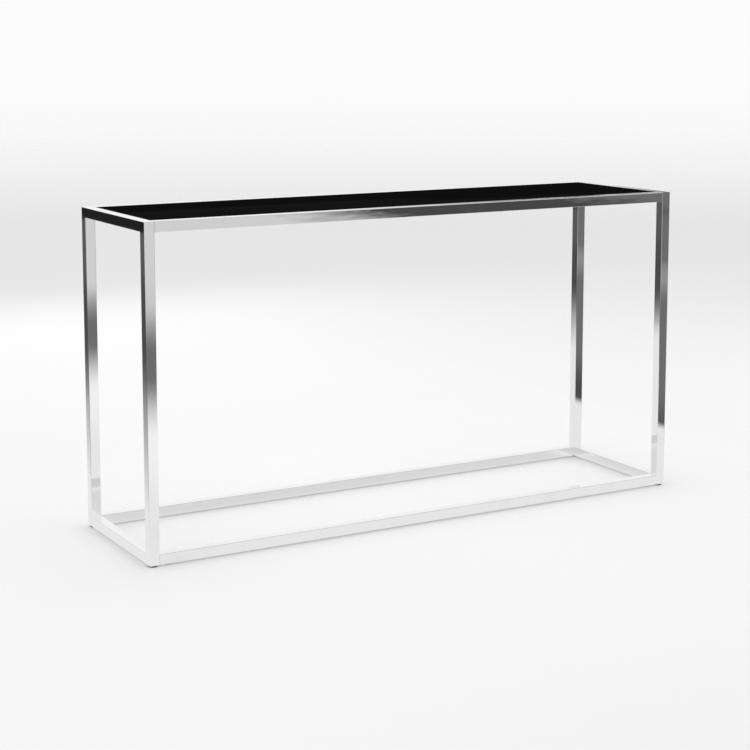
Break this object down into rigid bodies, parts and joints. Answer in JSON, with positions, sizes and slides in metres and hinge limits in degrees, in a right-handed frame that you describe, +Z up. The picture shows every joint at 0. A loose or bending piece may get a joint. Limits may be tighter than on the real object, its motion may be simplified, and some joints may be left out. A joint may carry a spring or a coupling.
{
  "type": "console table",
  "caption": "Slim console table with a polished square-tube box frame on low levelling feet and a flush opaque black glass top.",
  "frame": {"origin": "on the floor, under the middle of the table", "axes": "+X along the length towards the right end, +Y towards the rear long side, +Z up"},
  "size_m": [1.5, 0.4, 0.8],
  "materials": {
    "polished_frame": "mirror polished",
    "black_glass": "polished, opaque black",
    "ledge_steel": "satin",
    "spigot_steel": "plain, as cut",
    "screw_steel": "bright zinc",
    "insert_zinc": "zinc plated",
    "stud_zinc": "zinc plated",
    "foot_nylon": "fine moulded grain",
    "clear_pad": "clear, soft"
  },
  "bodies": {
    "frame": {"left_front_leg": "polished_frame", "left_rear_leg": "polished_frame", "right_front_leg": "polished_frame", "right_rear_leg": "polished_frame", "left_bottom_end_rail": "polished_frame", "left_top_end_rail": "polished_frame", "right_bottom_end_rail": "polished_frame", "right_top_end_rail": "polished_frame", "front_bottom_rail": "polished_frame", "front_top_rail": "polished_frame", "rear_bottom_rail": "polished_frame", "rear_top_rail": "polished_frame", "left_front_bottom_spigot": "spigot_steel", "left_front_top_spigot": "spigot_steel", "left_rear_bottom_spigot": "spigot_steel", "left_rear_top_spigot": "spigot_steel", "right_front_bottom_spigot": "spigot_steel", "right_front_top_spigot": "spigot_steel", "right_rear_bottom_spigot": "spigot_steel", "right_rear_top_spigot": "spigot_steel", "rail_screws": "screw_steel", "front_glass_ledge": "ledge_steel", "rear_glass_ledge": "ledge_steel", "left_glass_ledge": "ledge_steel", "right_glass_ledge": "ledge_steel", "glass_pads": "clear_pad", "glass_top": "black_glass", "left_front_threaded_insert": "insert_zinc", "left_rear_threaded_insert": "insert_zinc", "right_front_threaded_insert": "insert_zinc", "right_rear_threaded_insert": "insert_zinc"},
    "left_front_foot": {"left_front_foot_base": "foot_nylon", "left_front_foot_stud": "stud_zinc"},
    "left_rear_foot": {"left_rear_foot_base": "foot_nylon", "left_rear_foot_stud": "stud_zinc"},
    "right_front_foot": {"right_front_foot_base": "foot_nylon", "right_front_foot_stud": "stud_zinc"},
    "right_rear_foot": {"right_rear_foot_base": "foot_nylon", "right_rear_foot_stud": "stud_zinc"}
  },
  "joints": [
    {"name": "left_front_foot_levelling", "type": "slide", "parent": "frame", "child": "left_front_foot", "axis": [0, 0, -1], "range_m": [0, 0.008]},
    {"name": "left_rear_foot_levelling", "type": "slide", "parent": "frame", "child": "left_rear_foot", "axis": [0, 0, -1], "range_m": [0, 0.008]},
    {"name": "right_front_foot_levelling", "type": "slide", "parent": "frame", "child": "right_front_foot", "axis": [0, 0, -1], "range_m": [0, 0.008]},
    {"name": "right_rear_foot_levelling", "type": "slide", "parent": "frame", "child": "right_rear_foot", "axis": [0, 0, -1], "range_m": [0, 0.008]}
  ]
}
